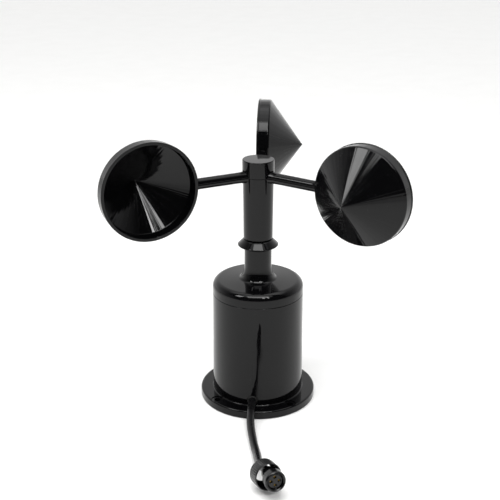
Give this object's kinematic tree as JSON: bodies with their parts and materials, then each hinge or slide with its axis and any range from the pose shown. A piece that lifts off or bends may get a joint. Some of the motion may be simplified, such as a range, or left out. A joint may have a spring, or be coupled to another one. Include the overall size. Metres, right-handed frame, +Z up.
{
  "type": "cup anemometer",
  "caption": "Cup anemometer: conical wind cups on arms round a hub, a necked cylindrical housing on a round screw-down flange, and a short cable with a plug.",
  "frame": {"origin": "centre of the base's underside, on the rotor's axis", "axes": "+Z up along the rotor axis; -Y is the side where the cable leaves"},
  "size_m": [0.1914, 0.2422, 0.1917],
  "materials": {
    "gloss_black_moulding": "polished injection moulding",
    "satin_black_plastic": "satin injection moulding",
    "black_cable_jacket": "smooth extruded jacket",
    "black_rubber": "moulded rubber",
    "bearing_steel": "ground and polished",
    "zinc_plated_steel": "zinc plated",
    "turned_aluminium": "fine turned",
    "brass": "turned",
    "green_board": "solder mask",
    "black_component_plastic": "matt moulding compound",
    "white_socket_plastic": "matt"
  },
  "bodies": {
    "stator": {"bearing_tube": "turned_aluminium", "board_pillar_1": "brass", "board_pillar_2": "brass", "board_pillar_3": "brass", "board_screw_1": "zinc_plated_steel", "board_screw_2": "zinc_plated_steel", "board_screw_3": "zinc_plated_steel", "board_socket": "white_socket_plastic", "bottom_gasket": "black_rubber", "bottom_plate": "satin_black_plastic", "bottom_screw_1": "zinc_plated_steel", "bottom_screw_2": "zinc_plated_steel", "bottom_screw_3": "zinc_plated_steel", "bottom_screw_4": "zinc_plated_steel", "cable": "black_cable_jacket", "cable_grommet": "black_rubber", "capacitor": "turned_aluminium", "circuit_board": "green_board", "cover_screw_1": "zinc_plated_steel", "cover_screw_2": "zinc_plated_steel", "cover_screw_3": "zinc_plated_steel", "cover_seal": "black_rubber", "drip_collar": "gloss_black_moulding", "housing": "gloss_black_moulding", "inner_wires": "black_cable_jacket", "lower_bearing_ball_cage": "bearing_steel", "lower_bearing_outer_ring": "bearing_steel", "microcontroller": "black_component_plastic", "optical_fork": "black_component_plastic", "plug_body": "satin_black_plastic", "plug_contact_1": "brass", "plug_contact_2": "brass", "plug_contact_3": "brass", "plug_contact_4": "brass", "plug_insert": "black_component_plastic", "retaining_ring": "zinc_plated_steel", "top_cover": "gloss_black_moulding", "upper_bearing_ball_cage": "bearing_steel", "upper_bearing_outer_ring": "bearing_steel", "voltage_regulator": "black_component_plastic"},
    "rotor": {"shaft": "bearing_steel", "lower_bearing_inner_ring": "bearing_steel", "upper_bearing_inner_ring": "bearing_steel", "bearing_spacer": "turned_aluminium", "shaft_circlip": "zinc_plated_steel", "slotted_disc": "zinc_plated_steel", "disc_boss": "brass", "disc_grub_screw": "zinc_plated_steel", "rotor_hub": "gloss_black_moulding", "hub_cap": "gloss_black_moulding", "hub_washer": "zinc_plated_steel", "hub_screw": "zinc_plated_steel", "cup_1": "gloss_black_moulding", "cup_2": "gloss_black_moulding", "cup_3": "gloss_black_moulding"},
    "nut": {"coupling_nut": "satin_black_plastic"}
  },
  "joints": [
    {"name": "rotor_spin", "type": "hinge", "parent": "stator", "child": "rotor", "pos_m": [0, 0, 0.1595], "axis": [0, 0, 1], "continuous": true},
    {"name": "coupling_nut_turn", "type": "hinge", "parent": "stator", "child": "nut", "pos_m": [0.01852, -0.11806, 0.00985], "axis": [0.4673, -0.8572, 0.2164], "continuous": true}
  ]
}
